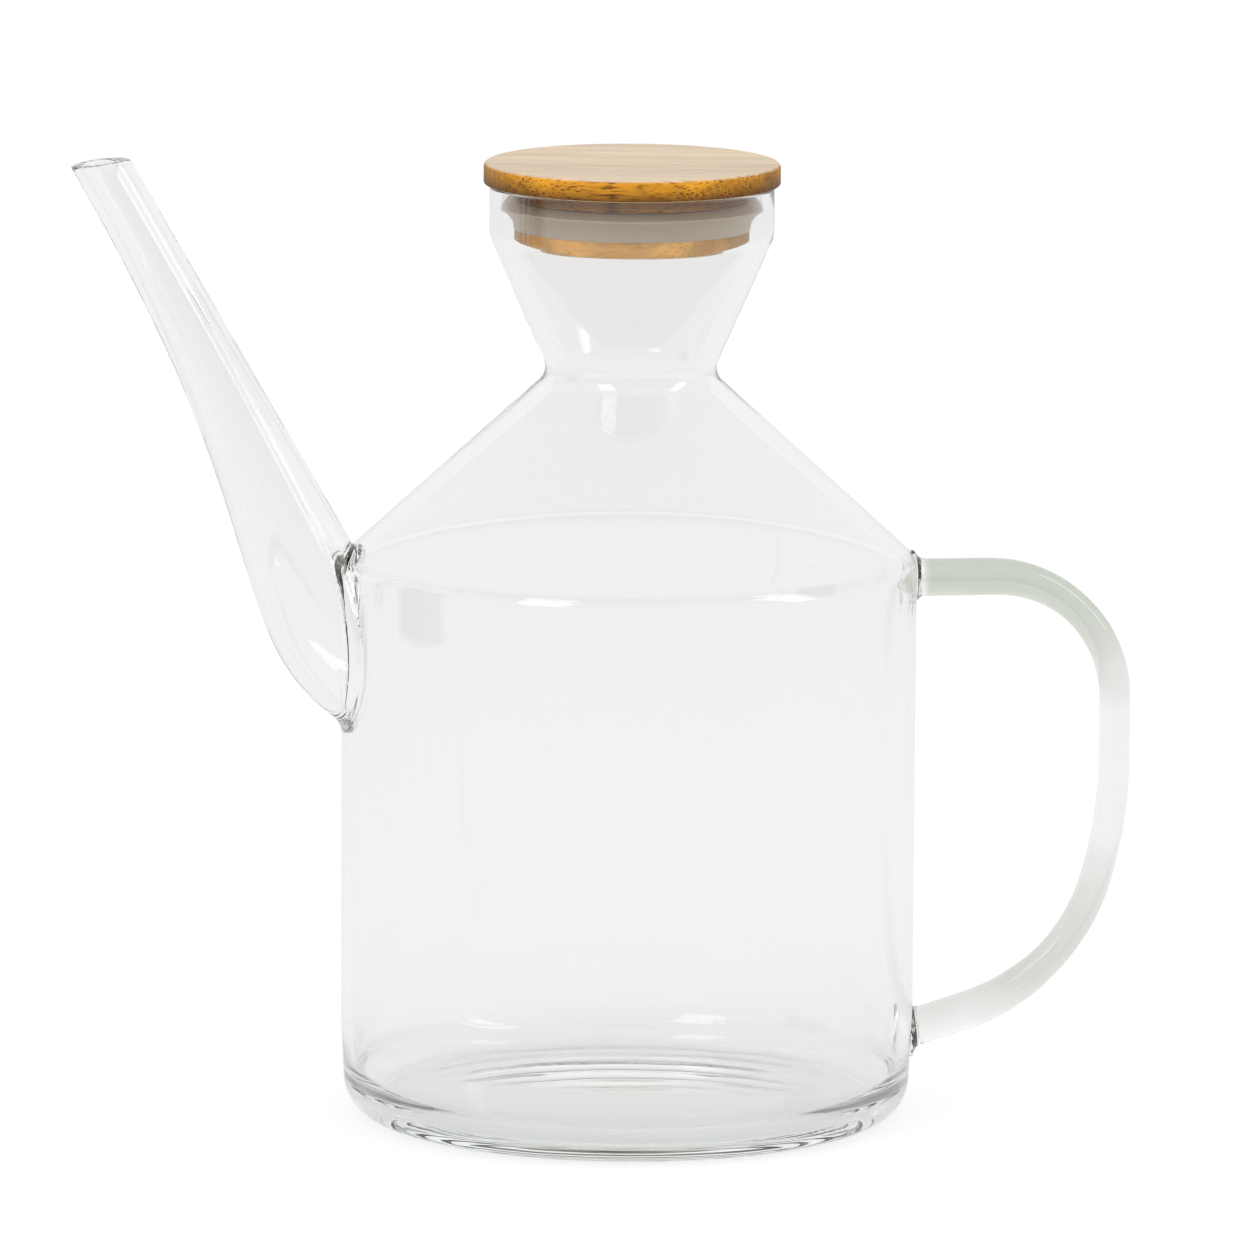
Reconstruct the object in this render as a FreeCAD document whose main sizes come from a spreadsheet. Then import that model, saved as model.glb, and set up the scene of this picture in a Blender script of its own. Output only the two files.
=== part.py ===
import FreeCAD, Part
import math
import os
import Sketcher

# Oil cruet: a blown glass vessel with a welded pouring spout and a welded rod handle,
# closed by a turned bamboo lid whose plug carries a silicone lip ring.
# Millimetres, +Z up, origin at the centre of the foot on the table.
# The spout points along -X and the handle along +X, both in the XZ plane.

SIZES = [
    # name, value, what it sets
    ("body_diameter", 110.0, "outside of the cylindrical body"),
    ("shoulder_height", 108.0, "height where body and shoulder cone would meet"),
    ("shoulder_rise", 36.0, "from there up to where the cone would meet the funnel"),
    ("throat_diameter", 31.4, "diameter where the two cones would meet"),
    ("funnel_rise", 26.3, "from there up to where the funnel would meet the rim"),
    ("rim_diameter", 54.3, "outside of the straight rim"),
    ("rim_rise", 9.9, "from there up to the top of the rim, where the lid rests"),
    ("glass_wall", 2.0, "wall of body, shoulder, funnel and rim"),
    ("floor_thickness", 4.0, "glass of the floor above the table"),
    ("foot_taper", 1.0, "how much the body draws in towards the foot, on each side"),
    ("foot_taper_height", 20.0, "height where the drawn-in part begins"),
    ("foot_taper_rounding", 60.0, "round where it begins"),
    ("heel_rounding", 7.6, "outer round between floor and body"),
    ("inner_heel_rounding", 8.0, "inner round between floor and body"),
    ("shoulder_rounding", 5.0, "outer round of the shoulder corner"),
    ("throat_rounding", 3.5, "outer round of the throat"),
    ("funnel_rounding", 5.0, "outer round between funnel and rim"),
    ("rim_rounding", 0.7, "fire-polished edges of the rim"),
    ("spout_overhang", 46.6, "from the body's side out to the middle of the tip"),
    ("spout_rise", 77.2, "from the shoulder corner up to the middle of the tip"),
    ("spout_foot_drop", 33.2, "from the shoulder corner down to the spout's root below"),
    ("spout_top_drop", 2.8, "from the shoulder corner down to the spout's root above"),
    ("spout_root_depth", 3.0, "how far the root's lower end lies inside the body's side"),
    ("spout_back_lean", 29.8, "degrees between the straight back of the spout and upright"),
    ("spout_belly_out", 28.0, "how strongly the belly first runs outwards"),
    ("spout_belly_up", 16.6, "how strongly the belly first runs upwards"),
    ("spout_belly_pull", 83.3, "how strongly the tip draws the belly straight"),
    ("spout_belly_lean", 30.0, "degrees between the belly at the tip and upright"),
    ("spout_tip_diameter", 10.5, "outside of the spout at its tip"),
    ("spout_tip_tilt", 24.6, "degrees of the last full section from level"),
    ("spout_cut_tilt", 7.4, "degrees of the cut through the tip from level"),
    ("spout_bore", 5.2, "bore of the spout at its tip"),
    ("spout_root_wall", 2.6, "wall of the spout at the body"),
    ("spout_weld", 2.0, "fillet of the weld between spout and body"),
    ("handle_rod", 6.6, "diameter of the handle rod"),
    ("handle_overhang", 39.3, "from the body's side out to the rod's farthest centreline"),
    ("handle_top_drop", 4.5, "from the shoulder corner down to the upper arm"),
    ("handle_foot", 15.3, "height where the lower arm's centreline meets the body"),
    ("handle_foot_slope", 17.5, "degrees the lower arm rises away from the body"),
    ("handle_top_bend", 24.0, "centreline radius of the upper bend"),
    ("handle_side_bend", 85.0, "centreline radius of the long curve of the grip"),
    ("handle_side_turn", 16.0, "degrees turned by the long curve"),
    ("handle_low_bend", 38.0, "centreline radius of the lower bend"),
    ("handle_weld", 2.0, "fillet of the welds between rod and body"),
    ("lid_overhang", 1.15, "how far the lid's disc stands out past the rim"),
    ("lid_thickness", 4.1, "thickness of the top disc"),
    ("lid_rounding", 0.9, "round of the disc's upper edge"),
    ("plug_gap", 2.75, "from the rim's inner side to the turned plug under the disc"),
    ("plug_length", 11.2, "how far the plug hangs below the disc"),
    ("plug_chamfer", 0.6, "bevel at the plug's lower edge"),
    ("groove_top", 2.8, "start of the ring's groove below the disc"),
    ("groove_width", 4.7, "height of the ring's groove"),
    ("groove_depth", 2.2, "depth of the ring's groove"),
    ("ring_play", 0.15, "clearance of the ring in its groove"),
    ("ring_fit", 0.1, "clearance of the ring's lip inside the rim"),
    ("ring_foot", 1.6, "height of the ring's solid lower band"),
    ("ring_lip", 1.2, "thickness of the ring's flared lip"),
]

SPOUT_SECTIONS = 9          # sections along the spout
BACK_PACE = 2.4             # how late the sections climb the back compared with the belly
AXIS = 1e-6                 # a coordinate below this lies on the axis

doc = FreeCAD.newDocument("oil_cruet")
sheet = doc.addObject("Spreadsheet::Sheet", "Sizes")


class Size:
    """A number together with the sheet expression that gives it."""

    def __init__(self, value, text=None):
        self.value = float(value)
        self.text = text if text else repr(float(value))

    def _join(self, other, sign, value):
        return Size(value, "(%s %s %s)" % (self.text, sign, other.text))

    def __add__(self, other):
        other = as_size(other)
        return self._join(other, "+", self.value + other.value)

    __radd__ = __add__

    def __sub__(self, other):
        other = as_size(other)
        return self._join(other, "-", self.value - other.value)

    def __rsub__(self, other):
        return as_size(other) - self

    def __mul__(self, other):
        other = as_size(other)
        return self._join(other, "*", self.value * other.value)

    __rmul__ = __mul__

    def __truediv__(self, other):
        other = as_size(other)
        return self._join(other, "/", self.value / other.value)

    def __neg__(self):
        return Size(-self.value, "(-1 * %s)" % self.text)


def as_size(thing):
    return thing if isinstance(thing, Size) else Size(thing)


def root(size):
    return Size(math.sqrt(size.value), "sqrt(%s)" % size.text)


def sine(degrees):
    return Size(math.sin(math.radians(degrees.value)), "sin(%s * 1 deg)" % degrees.text)


def cosine(degrees):
    return Size(math.cos(math.radians(degrees.value)), "cos(%s * 1 deg)" % degrees.text)


def fill_sheet():
    """Write the sizes into the sheet and return them by name."""
    named = {}
    for row, (name, value, note) in enumerate(SIZES, start=1):
        sheet.set("A%d" % row, name)
        sheet.set("B%d" % row, str(value))
        sheet.set("C%d" % row, note)
        sheet.setAlias("B%d" % row, name)
        named[name] = Size(value, "Sizes.%s" % name)
    doc.recompute()
    return named


def origin_plane(body, role):
    return [plane for plane in body.Origin.OriginFeatures if plane.Role == role][0]


def new_sketch(body, name, role):
    sketch = body.newObject("Sketcher::SketchObject", name)
    sketch.AttachmentSupport = [(origin_plane(body, role), "")]
    sketch.MapMode = "FlatFace"
    return sketch


def bind(sketch, constraint, size):
    """Add a constraint whose value follows the sheet."""
    index = sketch.addConstraint(constraint)
    sketch.setExpression("Constraints[%d]" % index, size.text)


def place_point(sketch, geometry, end, across, up):
    """Fix a sketch point at (across, up) from the sketch origin."""
    for kind, axis, size in (("DistanceX", -2, across), ("DistanceY", -1, up)):
        if abs(size.value) < AXIS:
            sketch.addConstraint(Sketcher.Constraint("PointOnObject", geometry, end, axis))
        elif size.value > 0:
            bind(sketch, Sketcher.Constraint(kind, -1, 1, geometry, end, size.value), size)
        else:
            bind(sketch, Sketcher.Constraint(kind, geometry, end, -1, 1, -size.value), -size)


def draw_outline(sketch, corners):
    """Draw straight sides through the corners (across, up, rounding), rounded where asked.

    Each corner is a construction point bound to the sheet; a rounded corner gets an arc
    that is tangent to the two sides whose lines run through that point.
    """
    count = len(corners)
    spots = [FreeCAD.Vector(c[0].value, c[1].value, 0) for c in corners]
    entry = list(spots)
    leave = list(spots)
    arcs = {}
    for i, (across, up, rounding) in enumerate(corners):
        if rounding is None:
            continue
        before = (spots[i - 1] - spots[i]).normalize()
        after = (spots[(i + 1) % count] - spots[i]).normalize()
        half = before.getAngle(after) / 2
        trim = rounding.value / math.tan(half)
        entry[i] = spots[i] + before * trim
        leave[i] = spots[i] + after * trim
        middle = (before + after).normalize()
        centre = spots[i] + middle * (rounding.value / math.sin(half))
        anticlockwise = before.cross(after).z < 0
        ends = (entry[i], leave[i]) if anticlockwise else (leave[i], entry[i])
        angles = [math.atan2(end.y - centre.y, end.x - centre.x) for end in ends]
        if angles[1] < angles[0]:
            angles[1] += 2 * math.pi
        circle = Part.Circle(centre, FreeCAD.Vector(0, 0, 1), rounding.value)
        arcs[i] = (Part.ArcOfCircle(circle, *angles), (1, 2) if anticlockwise else (2, 1))
    sides = []
    for i in range(count):
        ends = (leave[i], entry[(i + 1) % count])
        sides.append(sketch.addGeometry(Part.LineSegment(*ends), False))
    for i, (across, up, rounding) in enumerate(corners):
        into = sides[i - 1]
        out = sides[i]
        if i not in arcs:
            place_point(sketch, out, 1, across, up)
            sketch.addConstraint(Sketcher.Constraint("Coincident", into, 2, out, 1))
            continue
        mark = sketch.addGeometry(Part.Point(spots[i]), True)
        place_point(sketch, mark, 1, across, up)
        curve, (start, finish) = arcs[i]
        arc = sketch.addGeometry(curve, False)
        sketch.addConstraint(Sketcher.Constraint("Tangent", into, 2, arc, start))
        sketch.addConstraint(Sketcher.Constraint("Tangent", arc, finish, out, 1))
        sketch.addConstraint(Sketcher.Constraint("PointOnObject", mark, 1, into))
        sketch.addConstraint(Sketcher.Constraint("PointOnObject", mark, 1, out))
        bind(sketch, Sketcher.Constraint("Radius", arc, rounding.value), rounding)


def turned(body, name, kind, corners):
    """Revolve, or groove, an outline (radius, height, rounding) about the Z axis."""
    sketch = new_sketch(body, name + "_outline", "XZ_Plane")
    draw_outline(sketch, corners)
    feature = body.newObject("PartDesign::" + kind, name)
    feature.Profile = sketch
    feature.ReferenceAxis = (sketch, ["V_Axis"])
    feature.Angle = 360.0
    doc.recompute()
    return feature


def offset_corner(before, corner, after, wall):
    """The corner moved inwards so that both of its sides step in by the wall.

    The outline runs upwards with the axis on its left.
    """
    normals = []
    for first, second in ((before, corner), (corner, after)):
        across = second[0] - first[0]
        up = second[1] - first[1]
        length = root(across * across + up * up)
        normals.append((-up / length, across / length))
    (ax, ay), (bx, by) = normals
    spread = 1 + (ax * bx + ay * by)
    return (corner[0] + wall * (ax + bx) / spread, corner[1] + wall * (ay + by) / spread)


def vessel_corners(size):
    """Outer corners of the vessel from foot to rim, as (radius, height)."""
    body = size["body_diameter"] / 2
    throat = size["throat_diameter"] / 2
    rim = size["rim_diameter"] / 2
    throat_height = size["shoulder_height"] + size["shoulder_rise"]
    funnel_height = throat_height + size["funnel_rise"]
    return {
        "foot": (body - size["foot_taper"], Size(0)),
        "side": (body, size["foot_taper_height"]),
        "shoulder": (body, size["shoulder_height"]),
        "throat": (throat, throat_height),
        "funnel": (rim, funnel_height),
        "rim": (rim, funnel_height + size["rim_rise"]),
    }


def add_vessel_outside(body, size, corner):
    """The vessel as a full turned form, to be hollowed after the welds are made."""
    outline = [
        (Size(0), Size(0), None),
        corner["foot"] + (size["heel_rounding"],),
        corner["side"] + (size["foot_taper_rounding"],),
        corner["shoulder"] + (size["shoulder_rounding"],),
        corner["throat"] + (size["throat_rounding"],),
        corner["funnel"] + (size["funnel_rounding"],),
        corner["rim"] + (size["rim_rounding"],),
        (Size(0), corner["rim"][1], None),
    ]
    return turned(body, "vessel_outside", "Revolution", outline)


def add_vessel_hollow(body, size, corner):
    """Cut the room for the oil, one wall inside the outer form and open at the rim."""
    wall = size["glass_wall"]
    inner = corner["rim"][0] - wall
    side = offset_corner(corner["foot"], corner["side"], corner["shoulder"], wall)
    shoulder = offset_corner(corner["side"], corner["shoulder"], corner["throat"], wall)
    throat = offset_corner(corner["shoulder"], corner["throat"], corner["funnel"], wall)
    funnel = offset_corner(corner["throat"], corner["funnel"], corner["rim"], wall)
    lead = size["rim_rounding"]
    top = corner["rim"][1]
    outline = [
        (Size(0), size["floor_thickness"], None),
        (corner["foot"][0] - wall, size["floor_thickness"], size["inner_heel_rounding"]),
        side + (size["foot_taper_rounding"] - wall,),
        shoulder + (size["shoulder_rounding"] - wall,),
        throat + (size["throat_rounding"] + wall,),
        funnel + (size["funnel_rounding"] - wall,),
        (inner, top - lead, None),
        (inner + lead, top, None),
        (inner + lead, top + wall, None),
        (Size(0), top + wall, None),
    ]
    return turned(body, "vessel_hollow", "Groove", outline)


def spout_tip(size):
    """Middle of the pouring tip, in the XZ plane."""
    across = -(size["body_diameter"] / 2 + size["spout_overhang"])
    return across, size["shoulder_height"] + size["spout_rise"]


def spout_edges(size, along):
    """Points on the spout's belly and on its back, at 0 (root) to 1 (tip).

    The belly is a cubic curve that leaves the body steeply and ends in the tip's
    direction; the back is straight.
    """
    tip = spout_tip(size)
    half = size["spout_tip_diameter"] / 2
    rise = half * sine(size["spout_tip_tilt"])
    run = half * cosine(size["spout_tip_tilt"])
    start = (size["spout_root_depth"] - size["body_diameter"] / 2,
             size["shoulder_height"] - size["spout_foot_drop"])
    first = (start[0] - size["spout_belly_out"], start[1] + size["spout_belly_up"])
    end = (tip[0] - run, tip[1] - rise)
    pull = size["spout_belly_pull"]
    lean = size["spout_belly_lean"]
    last = (end[0] + pull * sine(lean), end[1] - pull * cosine(lean))
    rest = 1 - along
    weights = (rest ** 3, 3 * rest ** 2 * along, 3 * rest * along ** 2, along ** 3)
    belly = []
    for axis in range(2):
        total = Size(0)
        for weight, point in zip(weights, (start, first, last, end)):
            total = total + weight * point[axis]
        belly.append(total)
    top = (tip[0] + run, tip[1] + rise)
    drop = (top[1] - (size["shoulder_height"] - size["spout_top_drop"])) * (1 - along ** BACK_PACE)
    slope = sine(size["spout_back_lean"]) / cosine(size["spout_back_lean"])
    return belly, (top[0] + drop * slope, top[1] - drop)


def spout_section(body, name, belly, back, wall):
    """A circle of the spout that spans from its belly to its back, less the wall."""
    across = (belly[0] + back[0]) / 2
    up = (belly[1] + back[1]) / 2
    run = back[0] - belly[0]
    rise = back[1] - belly[1]
    radius = root(run * run + rise * rise) / 2 - wall
    tilt = math.degrees(math.atan2(rise.value, run.value))
    sketch = new_sketch(body, name, "XY_Plane")
    turn = FreeCAD.Rotation(FreeCAD.Vector(0, 1, 0), -tilt)
    spot = FreeCAD.Vector(across.value, 0, up.value)
    sketch.AttachmentOffset = FreeCAD.Placement(spot, turn)
    sketch.setExpression("AttachmentOffset.Base.x", across.text)
    sketch.setExpression("AttachmentOffset.Base.z", up.text)
    circle = Part.Circle(FreeCAD.Vector(0, 0, 0), FreeCAD.Vector(0, 0, 1), radius.value)
    ring = sketch.addGeometry(circle, False)
    sketch.addConstraint(Sketcher.Constraint("Coincident", ring, 3, -1, 1))
    bind(sketch, Sketcher.Constraint("Radius", ring, radius.value), radius)
    return sketch


def add_spout(body, size, name, kind, walls, inward, beyond):
    """Loft the spout's outside, or its bore, through sections that lean into the tip.

    walls are taken off the radius at root and tip. inward is how far an extra first
    section lies inside the body, and beyond how far the last one stands past the tip,
    where the slanting cut takes it off.
    """
    belly, back = spout_edges(size, 0)
    deep = [(point[0] + inward, point[1]) for point in (belly, back)]
    sections = [spout_section(body, name + "_root", deep[0], deep[1], walls[0])]
    for i in range(SPOUT_SECTIONS):
        along = i / (SPOUT_SECTIONS - 1)
        belly, back = spout_edges(size, along)
        wall = walls[0] + (walls[1] - walls[0]) * along
        label = "%s_section_%d" % (name, i)
        sections.append(spout_section(body, label, belly, back, wall))
    lean = size["spout_belly_lean"]
    past = [(point[0] - beyond * sine(lean), point[1] + beyond * cosine(lean))
            for point in (belly, back)]
    sections.append(spout_section(body, name + "_tip", past[0], past[1], walls[1]))
    loft = body.newObject("PartDesign::" + kind, name)
    loft.Profile = sections[0]
    loft.Sections = sections[1:]
    loft.Ruled = False
    doc.recompute()
    return loft


def cut_spout_tip(body, size, beyond):
    """Take off the end of the tube with the slanting cut of the pouring lip."""
    across, up = spout_tip(size)
    half = size["spout_tip_diameter"]
    slope = sine(size["spout_cut_tilt"]) / cosine(size["spout_cut_tilt"])
    outline = [
        (across - half, up - half * slope, None),
        (across + half, up + half * slope, None),
        (across + half, up + beyond * 4, None),
        (across - half, up + beyond * 4, None),
    ]
    sketch = new_sketch(body, "spout_cut_outline", "XZ_Plane")
    draw_outline(sketch, outline)
    cut = body.newObject("PartDesign::Pocket", "spout_cut")
    cut.Profile = sketch
    cut.Length = half.value * 2
    cut.setExpression("Length", (half * 2).text)
    cut.Midplane = True
    doc.recompute()
    return cut


def least(first, second):
    return Size(min(first.value, second.value), "min(%s; %s)" % (first.text, second.text))


def handle_bends(size):
    """Radii of the handle's bends and the height its lower part takes.

    A low vessel leaves less room between the arms, so all bends shrink together there.
    """
    turn = size["handle_side_turn"]
    foot = 90 - size["handle_foot_slope"]
    slope = cosine(foot) / sine(foot)
    top = size["handle_top_bend"]
    grip = size["handle_side_bend"]
    low = size["handle_low_bend"]
    across = size["handle_overhang"] - grip + (grip - low) * cosine(turn) + low * cosine(foot)
    lower = across * slope + low * (sine(foot) - sine(turn)) + grip * sine(turn)
    room = size["shoulder_height"] - size["handle_top_drop"] - size["handle_foot"]
    share = least(Size(1), room / (lower + top + size["handle_rod"]))
    return top * share, grip * share, low * share


def add_handle(body, size, inward):
    """Sweep the glass rod along straight arms and tangent bends, both ends in the wall."""
    top_bend, grip_bend, low_bend = handle_bends(size)
    wall = size["body_diameter"] / 2
    start = wall - inward
    reach = wall + size["handle_overhang"]
    top = size["shoulder_height"] - size["handle_top_drop"]
    turn = size["handle_side_turn"]
    foot = 90 - size["handle_foot_slope"]
    slope = cosine(foot) / sine(foot)
    hub = reach - grip_bend + (grip_bend - low_bend) * cosine(turn)
    low_end = hub + low_bend * cosine(foot)
    low_end_up = size["handle_foot"] + (low_end - wall) * slope
    hub_up = low_end_up + low_bend * sine(foot)
    grip_up = hub_up + (grip_bend - low_bend) * sine(turn)
    root_up = size["handle_foot"] - inward * slope
    path = new_sketch(body, "handle_route", "XZ_Plane")

    def line(first, second):
        ends = [FreeCAD.Vector(spot[0].value, spot[1].value, 0) for spot in (first, second)]
        return path.addGeometry(Part.LineSegment(*ends), False)

    def arc(centre, radius, low, high):
        middle = FreeCAD.Vector(centre[0].value, centre[1].value, 0)
        circle = Part.Circle(middle, FreeCAD.Vector(0, 0, 1), radius.value)
        ends = (math.radians(low), math.radians(high))
        return path.addGeometry(Part.ArcOfCircle(circle, *ends), False)

    upper = line((start, top), (reach - top_bend, top))
    bend = arc((reach - top_bend, top - top_bend), top_bend, 0, 90)
    straight = line((reach, top - top_bend), (reach, grip_up))
    grip = arc((reach - grip_bend, grip_up), grip_bend, -turn.value, 0)
    low = arc((hub, hub_up), low_bend, -foot.value, -turn.value)
    lower = line((low_end, low_end_up), (start, root_up))
    joins = [(upper, 2, bend, 2), (bend, 1, straight, 1), (straight, 2, grip, 2),
             (grip, 1, low, 2), (low, 1, lower, 1)]
    for first, first_end, second, second_end in joins:
        path.addConstraint(Sketcher.Constraint("Tangent", first, first_end, second, second_end))
    path.addConstraint(Sketcher.Constraint("Horizontal", upper))
    path.addConstraint(Sketcher.Constraint("Vertical", straight))
    place_point(path, upper, 1, start, top)
    place_point(path, lower, 2, start, root_up)
    bind(path, Sketcher.Constraint("DistanceX", -1, 1, straight, 1, reach.value), reach)
    for arc_number, radius in ((bend, top_bend), (grip, grip_bend), (low, low_bend)):
        bind(path, Sketcher.Constraint("Radius", arc_number, radius.value), radius)
    drop = grip_bend * sine(turn)
    bind(path, Sketcher.Constraint("DistanceY", grip, 1, grip, 2, drop.value), drop)
    fall = low_end_up - root_up
    bind(path, Sketcher.Constraint("DistanceY", lower, 2, lower, 1, fall.value), fall)
    section = new_sketch(body, "handle_section", "YZ_Plane")
    section.AttachmentOffset = FreeCAD.Placement(
        FreeCAD.Vector(0, 0, start.value), FreeCAD.Rotation())
    section.setExpression("AttachmentOffset.Base.z", start.text)
    radius = size["handle_rod"] / 2
    middle = FreeCAD.Vector(0, top.value, 0)
    circle = Part.Circle(middle, FreeCAD.Vector(0, 0, 1), radius.value)
    ring = section.addGeometry(circle, False)
    place_point(section, ring, 3, Size(0), top)
    bind(section, Sketcher.Constraint("Radius", ring, radius.value), radius)
    pipe = body.newObject("PartDesign::AdditivePipe", "handle")
    pipe.Profile = section
    pipe.Spine = path
    doc.recompute()
    return pipe


def seam_edges(feature, low, high):
    """Names of the edges that lie wholly within a box, such as the seam of a weld."""
    names = []
    for number, edge in enumerate(feature.Shape.Edges, start=1):
        box = edge.BoundBox
        inside = (box.XMin > low[0] and box.YMin > low[1] and box.ZMin > low[2]
                  and box.XMax < high[0] and box.YMax < high[1] and box.ZMax < high[2])
        if inside:
            names.append("Edge%d" % number)
    return names


def add_weld(body, name, size, edges, feature):
    """Round the seam where a drawn piece of glass is fused to the body."""
    weld = body.newObject("PartDesign::Fillet", name)
    weld.Base = (feature, edges)
    weld.Radius = size.value
    weld.setExpression("Radius", size.text)
    doc.recompute()
    return weld


def make_glass(size, corner):
    """Vessel, spout and handle, fused as one piece of glass."""
    body = doc.addObject("PartDesign::Body", "glass_cruet")
    body.Label = "glass_cruet"
    radius = corner["side"][0].value
    shoulder = size["shoulder_height"].value
    wall = size["glass_wall"]
    beyond = size["spout_tip_diameter"] / 2
    add_vessel_outside(body, size, corner)
    solid = (Size(0), Size(0))
    spout = add_spout(body, size, "spout", "AdditiveLoft", solid, wall, beyond)
    belly, back = spout_edges(size, 0)
    half = (back[1] - belly[1]).value / 2
    low = (-radius - half, -half * 1.3, belly[1].value - half / 2)
    high = (-radius / 2, half * 1.3, shoulder + half)
    edges = seam_edges(spout, low, high)
    add_weld(body, "spout_weld", size["spout_weld"], edges, spout)
    handle = add_handle(body, size, wall + 1)
    rod = size["handle_rod"].value
    low = (radius - rod, -rod, 0)
    high = (radius + rod, rod, shoulder + rod)
    edges = seam_edges(handle, low, high)
    add_weld(body, "handle_weld", size["handle_weld"], edges, handle)
    add_vessel_hollow(body, size, corner)
    bore = (size["spout_root_wall"], (size["spout_tip_diameter"] - size["spout_bore"]) / 2)
    add_spout(body, size, "spout_bore", "SubtractiveLoft", bore, wall * 3, beyond)
    cut_spout_tip(body, size, beyond)
    return body


def plug_radius(size, corner):
    return corner["rim"][0] - size["glass_wall"] - size["plug_gap"]


def make_lid(size, corner):
    """Bamboo disc and plug turned in one, with the groove for the ring."""
    body = doc.addObject("PartDesign::Body", "bamboo_lid")
    body.Label = "bamboo_lid"
    seat = corner["rim"][1]
    top = seat + size["lid_thickness"]
    plug = plug_radius(size, corner)
    edge = corner["rim"][0] + size["lid_overhang"]
    groove_top = seat - size["groove_top"]
    groove_foot = groove_top - size["groove_width"]
    foot = seat - size["plug_length"]
    bevel = size["plug_chamfer"]
    outline = [
        (Size(0), foot, None),
        (plug - bevel, foot, None),
        (plug, foot + bevel, None),
        (plug, groove_foot, None),
        (plug - size["groove_depth"], groove_foot, None),
        (plug - size["groove_depth"], groove_top, None),
        (plug, groove_top, None),
        (plug, seat, None),
        (edge, seat, size["lid_rounding"] / 2),
        (edge, top, size["lid_rounding"]),
        (Size(0), top, None),
    ]
    turned(body, "lid", "Revolution", outline)
    return body


def make_ring(size, corner):
    """Silicone ring: a band in the plug's groove with a lip that flares to the glass."""
    body = doc.addObject("PartDesign::Body", "silicone_ring")
    body.Label = "silicone_ring"
    play = size["ring_play"]
    band = plug_radius(size, corner) + play
    core = band - size["groove_depth"]
    foot = corner["rim"][1] - size["groove_top"] - size["groove_width"]
    top = foot + size["groove_width"] - play
    lip = corner["rim"][0] - size["glass_wall"] - size["ring_fit"]
    outline = [
        (core, foot, None),
        (band, foot, size["ring_lip"] / 3),
        (lip, top, None),
        (lip - size["ring_lip"], top, None),
        (band - size["ring_lip"] / 3, foot + size["ring_foot"], size["ring_lip"] / 3),
        (band - size["ring_lip"] / 3, top, None),
        (core, top, None),
    ]
    turned(body, "ring", "Revolution", outline)
    return body


def check_document():
    for item in doc.Objects:
        if "Invalid" in item.State or "Error" in item.State:
            raise RuntimeError("%s did not build: %s" % (item.Name, item.State))


def main():
    size = fill_sheet()
    corner = vessel_corners(size)
    bodies = [make(size, corner) for make in (make_glass, make_lid, make_ring)]
    doc.recompute()
    check_document()
    os.makedirs("parts", exist_ok=True)
    for body in bodies:
        shape = body.Shape
        if shape.isNull() or not shape.isValid() or len(shape.Solids) != 1:
            raise RuntimeError("%s is not one valid solid" % body.Label)
        print("%-14s %9.1f mm3  %s" % (body.Label, shape.Volume, shape.BoundBox))
        shape.exportStep("parts/%s.step" % body.Label)


main()
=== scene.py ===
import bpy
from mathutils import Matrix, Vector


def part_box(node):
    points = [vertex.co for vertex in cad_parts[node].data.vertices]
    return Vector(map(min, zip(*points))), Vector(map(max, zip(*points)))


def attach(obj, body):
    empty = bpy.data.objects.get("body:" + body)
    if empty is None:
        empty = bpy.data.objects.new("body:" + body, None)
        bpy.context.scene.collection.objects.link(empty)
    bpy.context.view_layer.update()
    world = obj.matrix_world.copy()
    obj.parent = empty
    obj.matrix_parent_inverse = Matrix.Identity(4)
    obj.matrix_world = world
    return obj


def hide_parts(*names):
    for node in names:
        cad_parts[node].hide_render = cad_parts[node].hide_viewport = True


bl_info = {
    "name": "Glass Oil Cruet",
    "version": (1, 0, 0),
    "blender": (4, 5, 0),
    "location": "View3D > Sidebar > Cruet",
    "description": "Dresses the packed oil cruet: blown glass, bamboo lid, silicone ring and studio",
    "category": "Object",
}

import math

import bpy
from bpy.props import FloatProperty, FloatVectorProperty, IntProperty, PointerProperty
from mathutils import Vector

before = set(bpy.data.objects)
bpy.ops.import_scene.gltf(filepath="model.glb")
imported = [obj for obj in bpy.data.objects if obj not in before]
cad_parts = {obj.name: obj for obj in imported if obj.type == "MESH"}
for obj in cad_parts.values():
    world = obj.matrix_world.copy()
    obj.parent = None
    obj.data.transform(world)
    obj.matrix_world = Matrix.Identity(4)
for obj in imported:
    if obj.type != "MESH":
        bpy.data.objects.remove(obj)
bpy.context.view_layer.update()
GLASS_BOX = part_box("glass_cruet")
LID_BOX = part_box("bamboo_lid")
RING_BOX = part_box("silicone_ring")

MM = 0.001
POINT = 1e-6        # what counts as a point: in metres, or as a share of a section's width


def length(label, note, millimetres):
    """A length property whose default is given in millimetres."""
    return FloatProperty(name=label, description=note, default=millimetres * MM,
                         min=0.0, unit="LENGTH", subtype="DISTANCE")


def angle(label, note, degrees):
    """An angle property whose default is given in degrees."""
    return FloatProperty(name=label, description=note, default=math.radians(degrees),
                         unit="ROTATION", subtype="ANGLE")


def number(label, note, value):
    return FloatProperty(name=label, description=note, default=value)


def colour(label, note, red, green, blue):
    """A colour property whose default is given in display values from 0 to 255."""
    linear = []
    for value in (red, green, blue):
        part = value / 255
        linear.append(part / 12.92 if part <= 0.04045 else ((part + 0.055) / 1.055) ** 2.4)
    return FloatVectorProperty(name=label, description=note, default=linear,
                               size=3, min=0.0, max=1.0, subtype="COLOR")


# ---------------------------------------------------------------- sizes and finishes

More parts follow.
